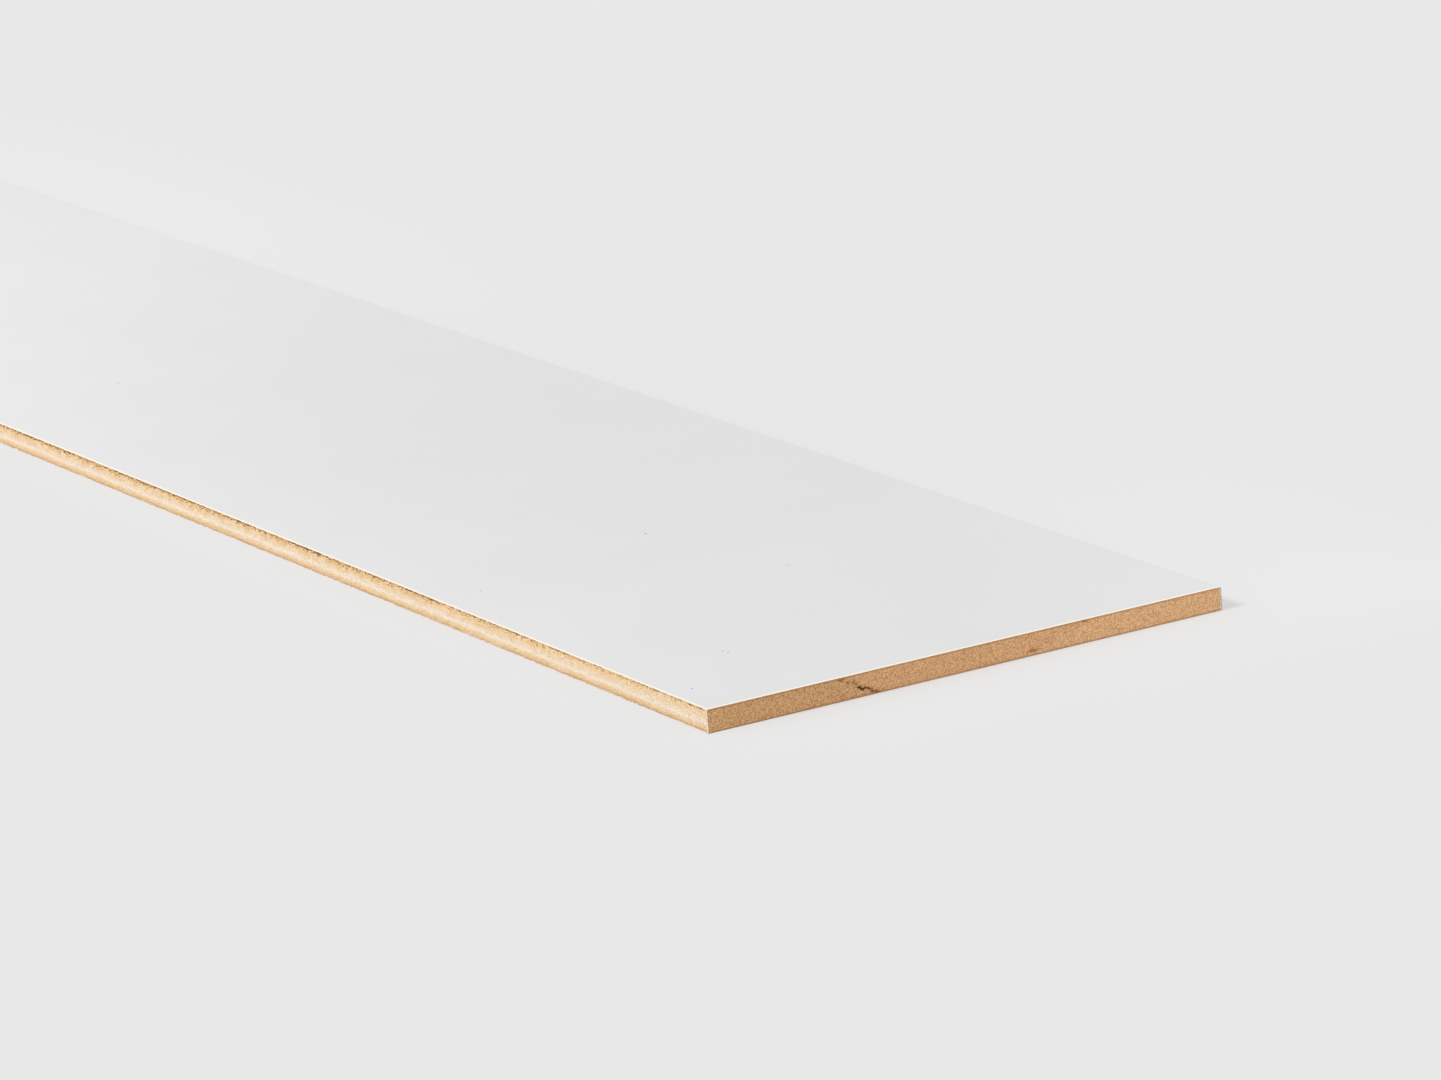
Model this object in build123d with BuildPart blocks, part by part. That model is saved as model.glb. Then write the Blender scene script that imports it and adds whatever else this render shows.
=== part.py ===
from build123d import *
import os

# Stair riser board: one flat board of fibreboard with a white face, sold as stock and sawn to fit.
# It lies on its back, white face up. Sizes are in millimetres. X runs along the board, Y across it
# and Z up, and the origin is the middle of the back.

# Driving dimensions
board_length = 1300.0  # stock length, a little more than the width of a house stair
board_width = 200.0  # the height of the riser once the board stands on its long edge
board_thickness = 8.0  # white face to back
face_easing = 0.3  # flat sanded on the two long arrises of the white face
back_easing = 0.3  # flat sanded on the two long arrises of the back
end_easing = 0.3  # flat sanded round each sawn end, its upright corners included
end_easing_slope = 45.0  # degrees, from the length of the board in to the sawn end

os.makedirs("parts", exist_ok=True)

with BuildPart() as riser_board:
    # Section across the board, with its long arrises eased
    with BuildSketch(Plane.YZ.offset(end_easing - board_length / 2)) as section:
        Rectangle(board_width, board_thickness, align=(Align.CENTER, Align.MIN))
        chamfer(section.vertices().group_by(Axis.Y)[-1], face_easing)
        chamfer(section.vertices().group_by(Axis.Y)[0], back_easing)

    # Straight run of that section, short of each end by the end's easing
    extrude(amount=board_length - 2 * end_easing)

    # Square-sawn ends, with the arris round each one eased
    near_end = riser_board.faces().sort_by(Axis.X)[-1]
    extrude(near_end, amount=end_easing, taper=end_easing_slope)
    far_end = riser_board.faces().sort_by(Axis.X)[0]
    extrude(far_end, amount=end_easing, taper=end_easing_slope)

riser_board.part.label = "riser_board"
export_step(riser_board.part, "parts/riser_board.step")
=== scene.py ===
import math

import bmesh
import bpy
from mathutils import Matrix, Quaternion, Vector, noise


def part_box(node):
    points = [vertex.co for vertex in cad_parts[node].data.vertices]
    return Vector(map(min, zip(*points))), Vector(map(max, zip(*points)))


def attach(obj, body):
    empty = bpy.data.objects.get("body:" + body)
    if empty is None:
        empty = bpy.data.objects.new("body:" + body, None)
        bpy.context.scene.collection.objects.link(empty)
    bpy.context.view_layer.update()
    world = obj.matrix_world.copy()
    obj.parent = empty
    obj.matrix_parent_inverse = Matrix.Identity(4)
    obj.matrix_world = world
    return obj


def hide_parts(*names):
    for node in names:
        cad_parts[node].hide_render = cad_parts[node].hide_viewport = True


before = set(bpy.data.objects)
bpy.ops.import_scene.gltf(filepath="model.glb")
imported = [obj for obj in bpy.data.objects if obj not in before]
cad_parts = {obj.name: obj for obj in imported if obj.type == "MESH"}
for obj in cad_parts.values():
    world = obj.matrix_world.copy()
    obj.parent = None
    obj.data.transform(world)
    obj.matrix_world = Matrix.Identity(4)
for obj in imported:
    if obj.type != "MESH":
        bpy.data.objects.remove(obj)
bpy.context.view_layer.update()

# Stair riser board: one fibreboard with a white lacquered face and bare edges, lying on its back.
# X runs along the board, Y across it and Z up. The near end is at +X and the lit long edge at -Y.
# Sizes are in millimetres unless a line says otherwise, and MM turns them to metres.

MM = 0.001
LOW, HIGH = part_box("riser_board")
LENGTH, WIDTH, THICKNESS = ((HIGH - LOW) / MM)[:]
HALF_L, HALF_W = LENGTH / 2, WIDTH / 2
LONG_SIDES = ("lit", "shaded")

# Skin of the board
FACE_ARRIS, BACK_ARRIS, ARRIS_STEPS = 0.3, 0.1, 3  # rounding along the white face and along the back
CORNER = 0.3  # easing of the four upright corners
CORNER_BEND = 0.3  # share of that easing by which the middle of its round lies in
CORNER_ROOM = 1.0  # from a corner to the first fibres beside it
ROW_PITCH, TORN_ROW_PITCH = 0.4, 0.15  # rows of points down the edges, closer where fibres are torn
LONG_PITCH, END_PITCH, NICK_PITCH = 1.25, 0.8, 0.3  # points along them, closer beside the nick
NICK_STRETCH = (48.0, 66.0)  # where they are closer, measured from the lit corner
GRID_PITCH, GRID_INSET = 50.0, 8.0  # quads inside the white face and the back

# Fibres of the sawn edges
FIBRE_LENGTH, FIBRE_WIDTH, FIBRE_DEPTH = 2.5, 0.5, 0.05  # wider than single fibres, too fine to show
TORN_LENGTH, SHORT_TORN_LENGTH, TORN_PATCH = 2.6, 1.0, 35.0  # pulled out under the lacquer, in patches
SHORT_TORN_SHARE, TORN_PATCH_SHARE = 0.5, 0.3  # weights beside the longer ones
FULLY_TORN = 0.35  # where their sum is this high, nothing of the fibre is left
TORN_MIDDLE, TORN_ZONE = 0.5, 1.5  # down from the face: middle of their band, end of the closer rows
TORN_HEIGHT, TORN_DEPTH = 0.25, 0.3  # half the height of the band, and how deep it is torn
NOISE_SLICE = {"lit": 3, "near": 4, "shaded": 6, "far": 3}  # where in the noise each side's fibres are read

# Marks in the near end: (distance from the lit corner, height above the back)
NICK = [(57.0, 3.5), (57.6, 3.3), (58.1, 2.6), (59.0, 2.5)]
NICK_DEPTH, NICK_WIDTH = 0.6, 0.6
NICK_RAG, RAG_LENGTH = 0.3, 0.7  # how far its rim strays, and over what length
TEAR = [(59.0, 2.5), (59.4, 2.8), (60.6, 2.5), (61.0, 1.9)]  # runs on from the nick
TEAR_SHARE, TEAR_WIDTH = 0.8, 0.5  # depth as a share of the nick's
CHIPS = [(61.9, 2.0), (61.7, 1.3), (62.3, 1.2), (63.6, 0.6), (64.7, 0.5)]  # a trail beyond the tear
CHIP_SHARE, CHIP_WIDTH = 0.7, 0.5  # depth as a share of the nick's
BRUISES = [  # with half their length and height
    (50.6, 7.2, 1.8, 0.7),
    (52.9, 6.0, 1.2, 0.6),
    (55.2, 5.5, 0.9, 0.7),
    (56.2, 4.6, 0.7, 0.5),
    (62.9, 0.9, 2.0, 0.7),
    (124.6, 1.7, 2.6, 0.7),
    (145.0, 7.4, 1.4, 0.4),
]
BRUISE_DEPTH = 0.1
CORNER_BRUISE = 0.4  # how strongly the saw burnished the corners and the upper arris of the ends

# Chips under the lacquer of the lit edge: (distance from the near end, height above the back, half their
# length, half their height)
EDGE_CHIPS = [
    (269.0, 7.3, 2.6, 0.9),
    (279.0, 7.5, 2.2, 0.6),
    (330.8, 7.5, 1.8, 0.5),
    (409.2, 7.4, 1.6, 0.4),
    (477.2, 7.0, 1.6, 0.5),
]

# Dust nibs in the lacquer: (distance from the near end, distance from the lit edge, radius)
NIBS = [
    (204.5, 96.4, 0.6),
    (24.7, 9.1, 0.5),
    (52.6, 39.4, 0.45),
    (55.3, 39.0, 0.45),
    (131.0, 110.7, 0.45),
    (181.0, 17.2, 0.45),
    (559.3, 62.8, 0.55),
]

# Patterns of the finishes
LACQUER_CLOUD = 60.0
ORANGE_PEEL, PEEL_DEPTH = 1.8, 0.02
RIM_AT_EDGE, RIM_AT_END = 1.3, 1.9  # widths of a painted highlight: a whiter rim of lacquer along the lit edge and the near end
SPECK, SPECK_RELIEF = 0.3, 0.08  # cut fibres, drawn as bundles because single ones are too fine to show
SKIN_FRAY = 3.0  # tongues of the golden skin in the core
STREAK_LENGTH, STREAK_HEIGHT = 14.0, 1.3  # pale streaks in the core
RESIN_PATCH = 3.5  # golden patches in the skin under the lacquer
GRIT_LENGTH, GRIT_HEIGHT = 1.3, 0.5  # dark bundles in the same skin
CLEAN_RUN = 250.0  # from the near end, over which both grow from few to many
END_SKIN, END_SKIN_FULL = 0.8, 0.35  # darker skins of the ends: their depth, and that of their darkest part
SANDING_CLOUD = 25.0
BARE_GLOSS = 0.25  # specular level of bare fibreboard, half of the usual: open pores swallow the rest

# Studio, in metres
BACKDROP = "#e8e8e8"
SKY_LEVEL = 0.6  # what the surroundings add to an upward face; key and fill bring it to about 1
FLOOR_RADIUS, FLOOR_DROP = 60.0, 0.00005  # the drop keeps the floor clear of the back
SHADOW_REACH = 0.08  # the floor takes the board's shadow this far out, and runs into the backdrop there
SHADOW_SIDE = 0.05  # how far that patch of floor lies towards the side that the shadow falls on
SHADOW_VEIL = 0.42  # share of the plain backdrop right beside the board, which keeps the shadow faint
CAMERA_PLACE = (2.4696, -1.1279, 0.6208)
AZIMUTH, ELEVATION, TILT = 60.305, 14.927, 4.36  # of the camera, in degrees
LENS, SENSOR = 170.4, 36.0  # in millimetres
FARTHEST_SEEN = 200.0

# Map for the look of the skin, in pixels: the long edges lie on it in rows
MAP_SIDE, MAP_GAP, LONG_ROWS = 1024, 8, 6

LACQUER, LONG_EDGE, SAWN_END, BACK, EASED_CORNER = range(5)  # places of the finishes on the piece
SHARE, FROM, TO, MIXED = 0, 6, 7, 2  # sockets of a Mix node that mixes colours


def linear(hex_colour):
    """An sRGB hex value as linear RGBA."""
    parts = [int(hex_colour[i : i + 2], 16) / 255 for i in (1, 3, 5)]
    return [c / 12.92 if c <= 0.04045 else ((c + 0.055) / 1.055) ** 2.4 for c in parts] + [1.0]


# The board's mesh


def evenly(first, last, pitch):
    """Points from first to last, both included, about a pitch apart."""
    count = max(1, round(abs(last - first) / pitch))
    return [first + (last - first) * i / count for i in range(count + 1)]


def near_end_places():
    """Places across the near end, closer together beside its nick."""
    start, stop = NICK_STRETCH
    before = evenly(CORNER_ROOM, start, END_PITCH)
    beside = evenly(start, stop, NICK_PITCH)
    after = evenly(stop, WIDTH - CORNER_ROOM, END_PITCH)
    return before + beside[1:] + after[1:]


def outline():
    """Stations round the board, anticlockwise from above: (x, y, way in, side, at a corner)."""
    long_places = evenly(CORNER_ROOM, LENGTH - CORNER_ROOM, LONG_PITCH)
    far_places = evenly(CORNER_ROOM, WIDTH - CORNER_ROOM, END_PITCH)
    sides = {
        "lit": [(s - HALF_L, -HALF_W, (0, 1)) for s in long_places],
        "near": [(HALF_L, s - HALF_W, (-1, 0)) for s in near_end_places()],
        "shaded": [(HALF_L - s, HALF_W, (0, -1)) for s in long_places],
        "far": [(-HALF_L, HALF_W - s, (1, 0)) for s in far_places],
    }
    corner_signs = ((1, -1), (1, 1), (-1, 1), (-1, -1))  # of the corner that each side runs to
    stations, names = [], list(sides)
    for i, (side, (sx, sy)) in enumerate(zip(names, corner_signs)):
        following = names[(i + 1) % len(names)]
        stations += [(x, y, inward, side, False) for x, y, inward in sides[side]]
        turn = [(CORNER, 0.0), (CORNER * CORNER_BEND, CORNER * CORNER_BEND), (0.0, CORNER)]
        if sx == sy:
            turn.reverse()
        for (dx, dy), belongs in zip(turn, (side, following, following)):
            stations.append((sx * (HALF_L - dx), sy * (HALF_W - dy), (-sx, -sy), belongs, True))
    return stations


def along(side, x, y):
    """How far a point of the outline is from the start of its side."""
    return {"lit": HALF_L + x, "near": HALF_W + y, "shaded": HALF_L - x, "far": HALF_W - y}[side]


def profile():
    """Rings from the white face to the back: (how far in, height above the back, way down the skin)."""
    bends = [math.radians(90 * i / ARRIS_STEPS) for i in range(ARRIS_STEPS + 1)]
    face = [(FACE_ARRIS * (1 - math.sin(b)), THICKNESS - FACE_ARRIS * (1 - math.cos(b))) for b in bends]
    torn_rows = evenly(THICKNESS - FACE_ARRIS, THICKNESS - TORN_ZONE, TORN_ROW_PITCH)
    rows = torn_rows[1:] + evenly(THICKNESS - TORN_ZONE, BACK_ARRIS, ROW_PITCH)[1:-1]
    back = [(BACK_ARRIS * (1 - math.cos(b)), BACK_ARRIS * (1 - math.sin(b))) for b in bends]
    rings, down = [], 0.0
    for inset, height in face + [(0.0, h) for h in rows] + back:
        if rings:
            down += math.dist(rings[-1][:2], (inset, height))
        rings.append((inset, height, down))
    return rings


def off_line(point, line):
    """Distance from a point to a line of straight runs."""
    best = math.inf
    for a, b in zip(line, line[1:]):
        a, run = Vector(a), Vector(b) - Vector(a)
        share = max(0.0, min(1.0, (Vector(point) - a).dot(run) / run.length_squared))
        best = min(best, (a + run * share - Vector(point)).length)
    return best


def bell(distance, width):
    """1 at no distance, falling off to nearly 0 at twice the width."""
    return math.exp(-((distance / width) ** 2))


def torn_fibres(place, height):
    """How torn a long edge is at a point: dashes of pulled-out fibre in a band under the lacquer."""
    long_ones = noise.noise((place / TORN_LENGTH, 0.0, 7.3))
    short_ones = noise.noise((place / SHORT_TORN_LENGTH, 3.1, 0.0))
    patches = noise.noise((place / TORN_PATCH, 0.0, 1.9))
    torn = long_ones + SHORT_TORN_SHARE * short_ones + TORN_PATCH_SHARE * patches
    band = bell(THICKNESS - height - TORN_MIDDLE, TORN_HEIGHT)
    return band * max(0.0, min(1.0, torn / FULLY_TORN))


def spots(place, height, marks):
    """How strong the strongest of some oval marks is at a point."""
    return max(
        bell(math.hypot((place - middle) / half_length, (height - up) / half_height), 1.0)
        for middle, up, half_length, half_height in marks
    )


def nick_and_bruises(place, height):
    """How deep the nick and how strong the bruises are at a point of the near end."""
    rag = NICK_RAG * noise.noise((place / RAG_LENGTH, height / RAG_LENGTH, 0.0))
    nick = bell(off_line((place, height), NICK) + rag, NICK_WIDTH)
    tear = TEAR_SHARE * bell(off_line((place, height), TEAR) + rag, TEAR_WIDTH)
    chips = [CHIP_SHARE * bell(math.dist((place, height), chip), CHIP_WIDTH) for chip in CHIPS]
    return max(nick, tear, *chips), spots(place, height, BRUISES)


def sawn_relief(side, place, height):
    """How far the sawn surface lies in at a point, and how torn and how bruised it is there."""
    torn = bruised = 0.0
    fibres = noise.noise((place / FIBRE_LENGTH, height / FIBRE_WIDTH, NOISE_SLICE[side]))
    depth = FIBRE_DEPTH * (0.5 + 0.5 * fibres)
    if side in LONG_SIDES:
        torn = torn_fibres(place + NOISE_SLICE[side] * LENGTH, height)
        if side == "lit":
            torn = max(torn, spots(LENGTH - place, height, EDGE_CHIPS))
        depth += TORN_DEPTH * torn
    if side == "near":
        torn, bruised = nick_and_bruises(place, height)
        depth += NICK_DEPTH * torn + BRUISE_DEPTH * bruised
    return depth, torn, bruised


def skin_rings(bm, stations, levels):
    """Rings of points from the white face down the edges to the back, marked where torn or bruised."""
    torn_layer = bm.verts.layers.float.new("torn")
    bruise_layer = bm.verts.layers.float.new("bruised")
    rings = []
    for inset, height, _ in levels:
        ring = []
        for x, y, inward, side, at_corner in stations:
            depth, torn, bruised = 0.0, 0.0, CORNER_BRUISE
            if not at_corner and inset < FACE_ARRIS:
                depth, torn, bruised = sawn_relief(side, along(side, x, y), height)
            depth = inset + depth * (1 - inset / FACE_ARRIS)
            vert = bm.verts.new(((x + inward[0] * depth) * MM, (y + inward[1] * depth) * MM, height * MM))
            vert[torn_layer], vert[bruise_layer] = torn, bruised
            ring.append(vert)
        rings.append(ring)
    return rings


def map_rows(skin_depth):
    """Foot and pixels per millimetre of each row of the map for the look."""
    pieces = [("face", LENGTH, WIDTH), ("back", LENGTH, WIDTH)]
    pieces += [(end, WIDTH, skin_depth) for end in ("near", "far")]
    pieces += [((side, i), LENGTH / LONG_ROWS, skin_depth) for side in LONG_SIDES for i in range(LONG_ROWS)]
    rows, foot = {}, MAP_GAP
    for name, run, rise in pieces:
        scale = (MAP_SIDE - 2 * MAP_GAP) / run
        rows[name] = (foot, scale)
        foot += rise * scale + MAP_GAP
    return rows


def lay_on_map(face, layer, row, places):
    """Puts a face's corners on the map, from their places in the row: (along it, up it)."""
    foot, scale = row
    for loop, (run, rise) in zip(face.loops, places):
        loop[layer].uv = ((MAP_GAP + run * scale) / MAP_SIDE, (foot + rise * scale) / MAP_SIDE)


def edge_finish(side, place, height):
    """Which finish a face of the edges takes. Cross-cutting took the lacquer off the arris of the ends,
    and each upright corner is sanded off from the side that ends there."""
    milled = side in LONG_SIDES
    if height < BACK_ARRIS / 2:
        return BACK
    if milled and height > THICKNESS - FACE_ARRIS / 4:
        return LACQUER
    if place > (LENGTH if milled else WIDTH) - CORNER_ROOM:
        return EASED_CORNER
    return LONG_EDGE if milled else SAWN_END


def skin_edges(bm, map_layer, rows, stations, levels, rings):
    """Quads between the rings, each with its finish and its place on the map."""
    skin_depth, strip = levels[-1][2], LENGTH / LONG_ROWS
    for j, (upper, lower) in enumerate(zip(rings, rings[1:])):
        height = (levels[j][1] + levels[j + 1][1]) / 2
        top, foot = skin_depth - levels[j][2], skin_depth - levels[j + 1][2]
        for i, (x, y, _, side, _) in enumerate(stations):
            k = (i + 1) % len(stations)
            start, stop = along(side, x, y), along(side, *stations[k][:2])
            middle = (start + stop) / 2
            face = bm.faces.new((lower[i], lower[k], upper[k], upper[i]))
            face.smooth = True
            face.material_index = edge_finish(side, middle, height)
            row = side
            if side in LONG_SIDES:
                part = min(LONG_ROWS - 1, int(middle / strip))
                row, start, stop = (side, part), start - part * strip, stop - part * strip
            places = ((start, foot), (stop, foot), (stop, top), (start, top))
            lay_on_map(face, map_layer, rows[row], places)


def fan_grid(bm, rim):
    """Faces of the flat inside a rim: coarse quads, joined to the fine rim by fans of triangles."""
    xs = evenly(GRID_INSET - HALF_L, HALF_L - GRID_INSET, GRID_PITCH)
    ys = evenly(GRID_INSET - HALF_W, HALF_W - GRID_INSET, GRID_PITCH)
    grid = [[bm.verts.new((x * MM, y * MM, rim[0].co.z)) for x in xs] for y in ys]
    faces = []
    for low, high in zip(grid, grid[1:]):
        for i in range(len(xs) - 1):
            faces.append([low[i], low[i + 1], high[i + 1], high[i]])
    border = grid[0][:-1] + [row[-1] for row in grid[:-1]]
    border += grid[-1][:0:-1] + [row[0] for row in grid[:0:-1]]
    nearest = [min(range(len(rim)), key=lambda i: (rim[i].co - v.co).length_squared) for v in border]
    for k, vert in enumerate(border):
        first, last = nearest[k], nearest[(k + 1) % len(border)]
        last += len(rim) if last < first else 0
        run = [rim[i % len(rim)] for i in range(first, last + 1)]
        neighbour, middle = border[(k + 1) % len(border)], len(run) // 2
        faces += [[run[i], run[i + 1], vert if i < middle else neighbour] for i in range(len(run) - 1)]
        faces.append([vert, run[middle], neighbour])
    return faces


def skin_flats(bm, map_layer, rows, rings):
    """The white face inside the first ring and the back inside the last."""
    for corners in fan_grid(bm, rings[0]):
        face = bm.faces.new(corners)
        face.material_index = LACQUER
        places = [(HALF_L + v.co.x / MM, HALF_W + v.co.y / MM) for v in corners]
        lay_on_map(face, map_layer, rows["face"], places)
    for corners in fan_grid(bm, rings[-1]):
        corners.reverse()
        face = bm.faces.new(corners)
        face.material_index = BACK
        places = [(HALF_L - v.co.x / MM, HALF_W + v.co.y / MM) for v in corners]
        lay_on_map(face, map_layer, rows["back"], places)


def riser_board_mesh():
    """The board as one closed skin, with a map laid out for its look."""
    bm = bmesh.new()
    map_layer = bm.loops.layers.uv.new("OFBake")
    stations, levels = outline(), profile()
    rings = skin_rings(bm, stations, levels)
    rows = map_rows(levels[-1][2])
    skin_edges(bm, map_layer, rows, stations, levels, rings)
    skin_flats(bm, map_layer, rows, rings)
    mesh = bpy.data.meshes.new("riser_board_skin")
    bm.to_mesh(mesh)
    bm.free()
    return mesh


# Materials


def add(tree, kind, values=None, links=None):
    """One node. A value goes to the socket or the setting of its name, a link comes from (node, output)."""
    node = tree.nodes.new(kind)
    for name, value in (values or {}).items():
        if isinstance(name, int) or name in node.inputs:
            node.inputs[name].default_value = value
        else:
            setattr(node, name, value)
    for name, (source, output) in (links or {}).items():
        tree.links.new(source.outputs[output], node.inputs[name])
    return node


def finish(name, roughness, gloss=0.5):
    """A new material with its shader, ready for the nodes that colour it."""
    material = bpy.data.materials.new(name)
    material.use_nodes = True
    tree = material.node_tree
    shader = tree.nodes["Principled BSDF"]
    shader.inputs["Roughness"].default_value = roughness
    shader.inputs["IOR"].default_value = 1.5
    shader.inputs["Specular IOR Level"].default_value = gloss
    return material, tree, shader


def white_lacquer():
    """White lacquer, rolled on and cured matt: an even white with a faint orange peel, dust nibs and a
    painted highlight along the lit edge and the near end.
    """
    material, tree, shader = finish("rolled_white_lacquer", 0.6)
    place = add(tree, "ShaderNodeTexCoord")
    cloud = {"Scale": 1 / (LACQUER_CLOUD * MM)}
    cloud = add(tree, "ShaderNodeTexNoise", cloud, {"Vector": (place, "Object")})
    white = {"data_type": "RGBA", FROM: linear("#dedede"), TO: linear("#e2e2e2")}
    white = add(tree, "ShaderNodeMix", white, {SHARE: (cloud, "Fac")})
    split = add(tree, "ShaderNodeSeparateXYZ", {}, {"Vector": (place, "Object")})
    off_edge = {"From Min": -HALF_W * MM, "From Max": (RIM_AT_EDGE - HALF_W) * MM}
    off_edge = add(tree, "ShaderNodeMapRange", off_edge, {"Value": (split, "Y")})
    off_end = {"From Min": HALF_L * MM, "From Max": (HALF_L - RIM_AT_END) * MM}
    off_end = add(tree, "ShaderNodeMapRange", off_end, {"Value": (split, "X")})
    inner = {0: (off_edge, "Result"), 1: (off_end, "Result")}
    inner = add(tree, "ShaderNodeMath", {"operation": "MINIMUM"}, inner)
    rim = add(tree, "ShaderNodeMapRange", {"From Min": 1.0, "From Max": 0.6}, {"Value": (inner, "Value")})
    # painted highlight: the lacquer turns whiter along the rim of the lit edge and of the near end
    rim_highlight = {"data_type": "RGBA", TO: linear("#fdf4e5")}
    white = add(tree, "ShaderNodeMix", rim_highlight, {SHARE: (rim, "Result"), FROM: (white, MIXED)})
    nearest = None
    for from_end, from_edge, radius in NIBS:
        centre = ((HALF_L - from_end) * MM, (from_edge - HALF_W) * MM, THICKNESS * MM)
        gap = {"operation": "DISTANCE", 1: centre}
        gap = add(tree, "ShaderNodeVectorMath", gap, {0: (place, "Object")})
        gap = add(tree, "ShaderNodeMath", {"operation": "DIVIDE", 1: radius * MM}, {0: (gap, "Value")})
        if nearest:
            links = {0: (nearest, "Value"), 1: (gap, "Value")}
            gap = add(tree, "ShaderNodeMath", {"operation": "MINIMUM"}, links)
        nearest = gap
    nib = add(tree, "ShaderNodeMapRange", {"From Min": 1.0, "From Max": 0.4}, {"Value": (nearest, "Value")})
    dust = {"data_type": "RGBA", TO: linear("#6f6b66")}
    colour = add(tree, "ShaderNodeMix", dust, {SHARE: (nib, "Result"), FROM: (white, MIXED)})
    tree.links.new(colour.outputs[MIXED], shader.inputs["Base Color"])
    peel = {"Scale": 1 / (ORANGE_PEEL * MM)}
    peel = add(tree, "ShaderNodeTexNoise", peel, {"Vector": (place, "Object")})
    bump = {"Strength": 0.1, "Distance": PEEL_DEPTH * MM}
    bump = add(tree, "ShaderNodeBump", bump, {"Height": (peel, "Fac")})
    tree.links.new(bump.outputs["Normal"], shader.inputs["Normal"])
    return material


def cut_fibres(tree, shader, place, colour, dark, dark_share, pale, pale_share):
    """Bare fibreboard's cut fibre ends over a colour: dark and pale specks and their fine dry relief."""
    specks = {"Scale": 1 / (SPECK * MM), "Detail": 1.0, "Roughness": 0.6}
    specks = add(tree, "ShaderNodeTexNoise", specks, {"Vector": (place, "Object")})
    for hex_colour, most, full in ((dark, dark_share, 0.62), (pale, pale_share, 0.38)):
        share = {"From Min": 0.5, "From Max": full, "To Max": most}
        share = add(tree, "ShaderNodeMapRange", share, {"Value": (specks, "Fac")})
        tint = {"data_type": "RGBA", TO: linear(hex_colour)}
        colour = add(tree, "ShaderNodeMix", tint, {SHARE: (share, "Result"), FROM: colour}), MIXED
    bump = {"Strength": 0.4, "Distance": SPECK_RELIEF * MM}
    bump = add(tree, "ShaderNodeBump", bump, {"Height": (specks, "Fac")})
    tree.links.new(bump.outputs["Normal"], shader.inputs["Normal"])
    return colour, specks


def marked(tree, colour, specks, mark, hex_colour, start, full, most):
    """A colour that turns to another where the mesh is marked, with a rim as ragged as the fibres."""
    read = add(tree, "ShaderNodeAttribute", {"attribute_name": mark})
    rag = {"operation": "MULTIPLY_ADD", 1: 1.0, 2: -0.5}
    rag = add(tree, "ShaderNodeMath", rag, {0: (specks, "Fac")})
    ragged = {0: (read, "Fac"), 1: (rag, "Value")}
    ragged = add(tree, "ShaderNodeMath", {"operation": "ADD"}, ragged)
    share = {"From Min": start, "From Max": full, "To Max": most}
    share = add(tree, "ShaderNodeMapRange", share, {"Value": (ragged, "Value")})
    tint = {"data_type": "RGBA", TO: linear(hex_colour)}
    return add(tree, "ShaderNodeMix", tint, {SHARE: (share, "Result"), FROM: colour}), MIXED


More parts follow.
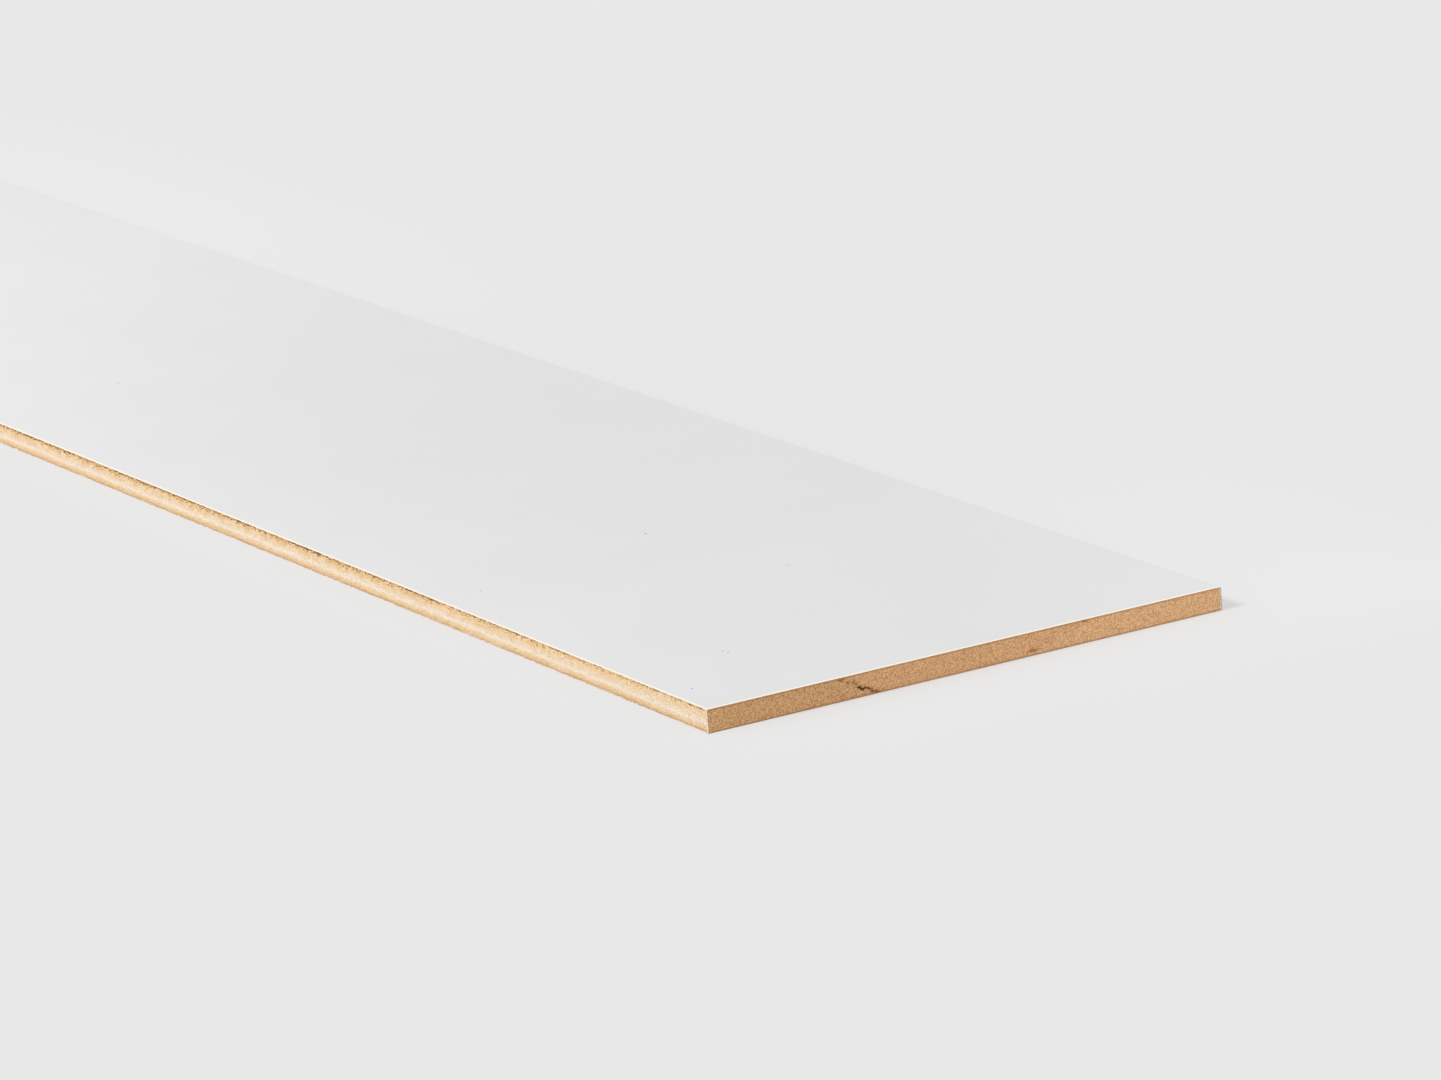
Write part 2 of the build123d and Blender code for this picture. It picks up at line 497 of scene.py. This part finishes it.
def milled_long_edge():
    """Medium-density fibreboard, milled along its length: golden, dense skins under both faces that fray
    into a softer cream core, whose brightest band just below the middle is painted light, pale streaks in
    it, and dark fibres torn out under the lacquer, whose pits also carry painted shade."""
    material, tree, shader = finish("milled_fibreboard_edge", 0.85, BARE_GLOSS)
    place = add(tree, "ShaderNodeTexCoord")
    split = add(tree, "ShaderNodeSeparateXYZ", {}, {"Vector": (place, "Object")})
    down = {"From Min": THICKNESS * MM, "From Max": 0.0}
    down = add(tree, "ShaderNodeMapRange", down, {"Value": (split, "Z")})

    # Skins and core, from the lacquer (0) to the back (1), frayed most under the lacquer; the core's
    # brightest band, just below the middle, is painted light
    fray = {"Scale": 1 / (SKIN_FRAY * MM), "Detail": 3.0, "Roughness": 0.65}
    fray = add(tree, "ShaderNodeTexNoise", fray, {"Vector": (place, "Object")})
    frayed = add(tree, "ShaderNodeMath", {"operation": "SUBTRACT", 1: 0.5}, {0: (fray, "Fac")})
    reach = add(tree, "ShaderNodeMapRange", {"To Min": 0.6, "To Max": 0.08}, {"Value": (down, "Result")})
    layer = {0: (frayed, "Value"), 1: (reach, "Result"), 2: (down, "Result")}
    layer = add(tree, "ShaderNodeMath", {"operation": "MULTIPLY_ADD"}, layer)
    layers = add(tree, "ShaderNodeValToRGB", {}, {"Fac": (layer, "Value")})
    tones = [
        (0.04, "#cfa875"),
        (0.10, "#eac78e"),
        (0.15, "#efc88e"),
        (0.30, "#e9cda3"),
        (0.45, "#e7d5ba"),
        (0.60, "#f1e4d1"),
        (0.75, "#e4c497"),
        (0.85, "#dcb27a"),
        (0.95, "#b28652"),
    ]
    stops = layers.color_ramp.elements
    for (where, hex_colour), stop in zip(tones, list(stops) + [stops.new(w) for w, _ in tones[2:]]):
        stop.position, stop.color = where, linear(hex_colour)

    # Pale streaks
    long_way = {"Scale": (1 / (STREAK_LENGTH * MM), 1 / (STREAK_LENGTH * MM), 1 / (STREAK_HEIGHT * MM))}
    long_way = add(tree, "ShaderNodeMapping", long_way, {"Vector": (place, "Object")})
    streaks = add(tree, "ShaderNodeTexNoise", {"Scale": 1.0}, {"Vector": (long_way, "Vector")})
    streak = {"From Min": 0.5, "From Max": 0.75, "To Max": 0.5}
    streak = add(tree, "ShaderNodeMapRange", streak, {"Value": (streaks, "Fac")})
    pale = {"data_type": "RGBA", TO: linear("#eadfcb")}
    colour = add(tree, "ShaderNodeMix", pale, {SHARE: (streak, "Result"), FROM: (layers, "Color")})

    # Golden resin in the upper skin, richer away from the near end
    resin = {"Scale": 1 / (RESIN_PATCH * MM), "Detail": 1.0}
    resin = add(tree, "ShaderNodeTexNoise", resin, {"Vector": (place, "Object")})
    onward = {"From Min": HALF_L * MM, "From Max": (HALF_L - CLEAN_RUN) * MM}
    richest = onward | {"To Min": 0.15, "To Max": 0.85}
    richest = add(tree, "ShaderNodeMapRange", richest, {"Value": (split, "X")})
    deep = {"Value": (down, "Result"), "To Max": (richest, "Result")}
    deep = add(tree, "ShaderNodeMapRange", {"From Min": 0.6, "From Max": 0.12}, deep)
    resin = {"Value": (resin, "Fac"), "To Max": (deep, "Result")}
    resin = add(tree, "ShaderNodeMapRange", {"From Min": 0.45, "From Max": 0.6}, resin)
    golden = {"data_type": "RGBA", TO: linear("#dba75c")}
    colour = add(tree, "ShaderNodeMix", golden, {SHARE: (resin, "Result"), FROM: (colour, MIXED)})
    colour, specks = cut_fibres(tree, shader, place, (colour, MIXED), "#b98648", 0.5, "#f8efde", 0.5)

    # Dark grit close under the lacquer, also more of it away from the near end
    bundles = {"Scale": (1 / (GRIT_LENGTH * MM), 1 / (GRIT_LENGTH * MM), 1 / (GRIT_HEIGHT * MM))}
    bundles = add(tree, "ShaderNodeMapping", bundles, {"Vector": (place, "Object")})
    grit = add(tree, "ShaderNodeTexNoise", {"Scale": 1.0}, {"Vector": (bundles, "Vector")})
    most = onward | {"To Min": 0.08, "To Max": 0.19}
    most = add(tree, "ShaderNodeMapRange", most, {"Value": (split, "X")})
    under_skin = {"Value": (down, "Result"), "To Max": (most, "Result")}
    under_skin = add(tree, "ShaderNodeMapRange", {"From Min": 0.35, "From Max": 0.05}, under_skin)
    grit = {0: (grit, "Fac"), 1: (under_skin, "Result")}
    grit = add(tree, "ShaderNodeMath", {"operation": "ADD"}, grit)
    gritty = {"From Min": 0.645, "From Max": 0.745, "To Max": 0.9}
    gritty = add(tree, "ShaderNodeMapRange", gritty, {"Value": (grit, "Value")})
    brown = {"data_type": "RGBA", TO: linear("#7c4f1e")}
    colour = add(tree, "ShaderNodeMix", brown, {SHARE: (gritty, "Result"), FROM: colour}), MIXED
    # partly painted shade: the torn pits and chips under the lacquer turn dark brown with their depth,
    # beside the fibre's own dark
    colour, _ = marked(tree, colour, specks, "torn", "#5f4018", 0.3, 0.9, 0.9)
    tree.links.new(colour.outputs[MIXED], shader.inputs["Base Color"])
    return material


def sawn_end():
    """Medium-density fibreboard, cross-cut: burnished by the saw to a tan brown in three tones that meet on
    slants and turn lighter towards the shaded edge, partly as painted light, thickly specked, with a darker
    line at each skin, a torn nick and bruises."""
    material, tree, shader = finish("cross_cut_fibreboard", 0.85, BARE_GLOSS)
    place = add(tree, "ShaderNodeTexCoord")
    split = add(tree, "ShaderNodeSeparateXYZ", {}, {"Vector": (place, "Object")})
    first_tone = linear("#cd9d6e")
    # partly painted light: the tones step lighter from the lit corner towards the shaded edge
    steps = [  # slope, distance from the lit corner at the back, half the step's width, tone beyond it
        (2.0, 65.3, 1.5, "#d9a678"),
        (-4.4, 117.8, 4.0, "#e1b182"),
    ]
    colour = None
    for slope, middle, soft, tone in steps:
        slant = {0: (split, "Z"), 2: (split, "Y")}
        slant = add(tree, "ShaderNodeMath", {"operation": "MULTIPLY_ADD", 1: slope}, slant)
        step = {"From Min": (middle - soft - HALF_W) * MM, "From Max": (middle + soft - HALF_W) * MM}
        step = add(tree, "ShaderNodeMapRange", step, {"Value": (slant, "Value")})
        tint = {"data_type": "RGBA", FROM: first_tone, TO: linear(tone)}
        links = {SHARE: (step, "Result")} | ({FROM: colour} if colour else {})
        colour = add(tree, "ShaderNodeMix", tint, links), MIXED
    colour, specks = cut_fibres(tree, shader, place, colour, "#74451f", 0.55, "#f8cd96", 0.55)
    off_middle = {"operation": "SUBTRACT", 1: THICKNESS / 2 * MM}
    off_middle = add(tree, "ShaderNodeMath", off_middle, {0: (split, "Z")})
    off_middle = add(tree, "ShaderNodeMath", {"operation": "ABSOLUTE"}, {0: (off_middle, "Value")})
    skin = {"From Min": (THICKNESS / 2 - END_SKIN) * MM, "From Max": (THICKNESS / 2 - END_SKIN_FULL) * MM}
    skin = add(tree, "ShaderNodeMapRange", skin | {"To Max": 0.5}, {"Value": (off_middle, "Value")})
    dense = {"data_type": "RGBA", TO: linear("#8f7150")}
    colour = add(tree, "ShaderNodeMix", dense, {SHARE: (skin, "Result"), FROM: colour}), MIXED
    colour = marked(tree, colour, specks, "bruised", "#8c5a1e", 0.15, 0.9, 0.8)
    colour, _ = marked(tree, colour, specks, "torn", "#5a2e00", 0.25, 0.75, 0.98)
    tree.links.new(colour.outputs[MIXED], shader.inputs["Base Color"])
    return material


def eased_corner():
    """Medium-density fibreboard, sanded off at the upright corners: pale raw fibre with no burnish, paler
    at the lit edge as a painted highlight and greyer towards the shaded edge as painted shade."""
    material, tree, shader = finish("sanded_corner_and_painted_light", 0.85, BARE_GLOSS)
    place = add(tree, "ShaderNodeTexCoord")
    split = add(tree, "ShaderNodeSeparateXYZ", {}, {"Vector": (place, "Object")})
    # painted light and shade: paler at the lit edge, greyer towards the shaded edge
    across = {"From Min": -HALF_W * MM, "From Max": HALF_W * MM}
    across = add(tree, "ShaderNodeMapRange", across, {"Value": (split, "Y")})
    tint = {"data_type": "RGBA", FROM: linear("#ecd5b7"), TO: linear("#cbb6a6")}
    colour = add(tree, "ShaderNodeMix", tint, {SHARE: (across, "Result")}), MIXED
    (colour, _), _ = cut_fibres(tree, shader, place, colour, "#9a7b5c", 0.45, "#f8efde", 0.35)
    tree.links.new(colour.outputs[MIXED], shader.inputs["Base Color"])
    return material


def sanded_back():
    """Medium-density fibreboard, sanded and left bare for the adhesive: smooth tan with fine specks."""
    material, tree, shader = finish("sanded_fibreboard_back", 0.75, BARE_GLOSS)
    place = add(tree, "ShaderNodeTexCoord")
    cloud = {"Scale": 1 / (SANDING_CLOUD * MM)}
    cloud = add(tree, "ShaderNodeTexNoise", cloud, {"Vector": (place, "Object")})
    tint = {"data_type": "RGBA", FROM: linear("#c3a077"), TO: linear("#cfac82")}
    colour = add(tree, "ShaderNodeMix", tint, {SHARE: (cloud, "Fac")}), MIXED
    (colour, _), _ = cut_fibres(tree, shader, place, colour, "#8f663a", 0.25, "#e0c6a2", 0.2)
    tree.links.new(colour.outputs[MIXED], shader.inputs["Base Color"])
    return material


def riser_board():
    """The dressed board, with its finishes in the order of their places."""
    piece = bpy.data.objects.new("riser_board_dressed", riser_board_mesh())
    bpy.context.scene.collection.objects.link(piece)
    for surface in (white_lacquer(), milled_long_edge(), sawn_end(), sanded_back(), eased_corner()):
        piece.data.materials.append(surface)
    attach(piece, "root")
    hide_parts("riser_board")


# Studio


def seen_directly(tree):
    """1 for a ray from the camera, a mirror or a clear surface, and 0 for one that lights something."""
    rays = add(tree, "ShaderNodeLightPath")
    seen = {0: (rays, "Is Camera Ray"), 1: (rays, "Is Glossy Ray")}
    seen = add(tree, "ShaderNodeMath", {"operation": "MAXIMUM"}, seen)
    seen = {0: (seen, "Value"), 1: (rays, "Is Transmission Ray")}
    return add(tree, "ShaderNodeMath", {"operation": "MAXIMUM"}, seen)


def matt_pale_floor():
    """A matt pale floor: near the board it takes light and shadow, further out it is the backdrop."""
    material, tree, shader = finish("matt_pale_floor", 1.0, 0.0)
    shader.inputs["Base Color"].default_value = linear(BACKDROP)
    plain = add(tree, "ShaderNodeEmission", {"Color": linear(BACKDROP)})
    place = add(tree, "ShaderNodeTexCoord")
    moved = {"operation": "SUBTRACT", 1: (0.0, SHADOW_SIDE, 0.0)}
    moved = add(tree, "ShaderNodeVectorMath", moved, {0: (place, "Object")})
    folded = add(tree, "ShaderNodeVectorMath", {"operation": "ABSOLUTE"}, {0: (moved, "Vector")})
    beyond = {"operation": "SUBTRACT", 1: (HALF_L * MM, HALF_W * MM, 0.0)}
    beyond = add(tree, "ShaderNodeVectorMath", beyond, {0: (folded, "Vector")})
    outside = {"operation": "MAXIMUM", 1: (0.0, 0.0, 0.0)}
    outside = add(tree, "ShaderNodeVectorMath", outside, {0: (beyond, "Vector")})
    away = add(tree, "ShaderNodeVectorMath", {"operation": "LENGTH"}, {0: (outside, "Vector")})
    fade = {"interpolation_type": "SMOOTHSTEP", "From Max": SHADOW_REACH, "To Min": SHADOW_VEIL}
    fade = add(tree, "ShaderNodeMapRange", fade, {"Value": (away, "Value")})
    share = {0: (seen_directly(tree), "Value"), 1: (fade, "Result")}
    share = add(tree, "ShaderNodeMath", {"operation": "MULTIPLY"}, share)
    mix = {0: (share, "Value"), 1: (shader, "BSDF"), 2: (plain, "Emission")}
    mix = add(tree, "ShaderNodeMixShader", {}, mix)
    tree.links.new(mix.outputs["Shader"], tree.nodes["Material Output"].inputs["Surface"])
    return material


def floor():
    """The disk that the board lies on."""
    bm = bmesh.new()
    bmesh.ops.create_circle(bm, cap_ends=True, segments=96, radius=FLOOR_RADIUS)
    mesh = bpy.data.meshes.new("floor")
    bm.to_mesh(mesh)
    bm.free()
    mesh.materials.append(matt_pale_floor())
    disk = bpy.data.objects.new("floor", mesh)
    disk.location.z = -FLOOR_DROP
    bpy.context.scene.collection.objects.link(disk)


def surroundings():
    """Even pale light from all round, and the same tone behind the floor's far edge."""
    world = bpy.data.worlds.new("pale_studio")
    bpy.context.scene.world = world
    world.use_nodes = True
    tree = world.node_tree
    ground = tree.nodes["Background"]
    ground.inputs["Color"].default_value = linear(BACKDROP)
    level = {"To Min": SKY_LEVEL / linear(BACKDROP)[0], "To Max": 1.0}
    level = add(tree, "ShaderNodeMapRange", level, {"Value": (seen_directly(tree), "Value")})
    tree.links.new(level.outputs["Result"], ground.inputs["Strength"])


def lamp(name, kind, place, aim, **settings):
    """A lamp at a place, turned to a point and not seen by the camera."""
    data = bpy.data.lights.new(name, kind)
    for setting, value in settings.items():
        setattr(data, setting, value)
    light = bpy.data.objects.new(name, data)
    light.location = place
    light.rotation_mode = "QUATERNION"
    light.rotation_quaternion = (Vector(aim) - Vector(place)).to_track_quat("-Z", "Y")
    light.visible_camera = False
    bpy.context.scene.collection.objects.link(light)


def lamps():
    """A broad key light over the lit edge, and fills for that edge, the near end, the far run of the white
    face and the corner of the near end at the shaded edge."""
    lamp("key_light", "SUN", (0.6, -2.6, 2.28), (0.6, 0.0, 0.0), energy=1.46, angle=math.radians(16))
    strip = {"shape": "RECTANGLE", "size": 1.14, "size_y": 0.06}
    lamp("edge_fill", "AREA", (0.07, -0.2, 0.156), (0.07, -0.2, 0.0), energy=0.16, **strip)
    disk = {"shape": "DISK", "size": 0.6}
    lamp("end_fill", "AREA", (2.25, 0.95, 0.75), (0.65, 0.0, 0.0), energy=5.6, **disk)
    strip = {"shape": "RECTANGLE", "size": 0.54, "size_y": 0.1}
    lamp("far_fill", "AREA", (-0.32, -0.12, 0.41), (-0.32, -0.12, 0.0), energy=0.42, **strip)
    disk = {"shape": "DISK", "size": 0.2}
    lamp("corner_fill", "AREA", (0.9, 0.35, 0.3), (0.65, 0.1, 0.0), energy=0.2, **disk)


def photo_camera():
    """A long lens, low over the near corner of the board and tilted a few degrees."""
    azimuth, elevation = math.radians(AZIMUTH), math.radians(ELEVATION)
    data = bpy.data.cameras.new("photo_camera")
    data.sensor_width, data.lens, data.clip_end = SENSOR, LENS, FARTHEST_SEEN
    camera = bpy.data.objects.new("photo_camera", data)
    camera.location = CAMERA_PLACE
    flat = math.cos(elevation)
    look = Vector((-math.sin(azimuth) * flat, math.cos(azimuth) * flat, -math.sin(elevation)))
    camera.rotation_mode = "QUATERNION"
    camera.rotation_quaternion = look.to_track_quat("-Z", "Y") @ Quaternion((0, 0, 1), -math.radians(TILT))
    bpy.context.scene.collection.objects.link(camera)
    bpy.context.scene.camera = camera


riser_board()
floor()
surroundings()
lamps()
photo_camera()
bpy.context.scene.view_settings.view_transform = "Standard"
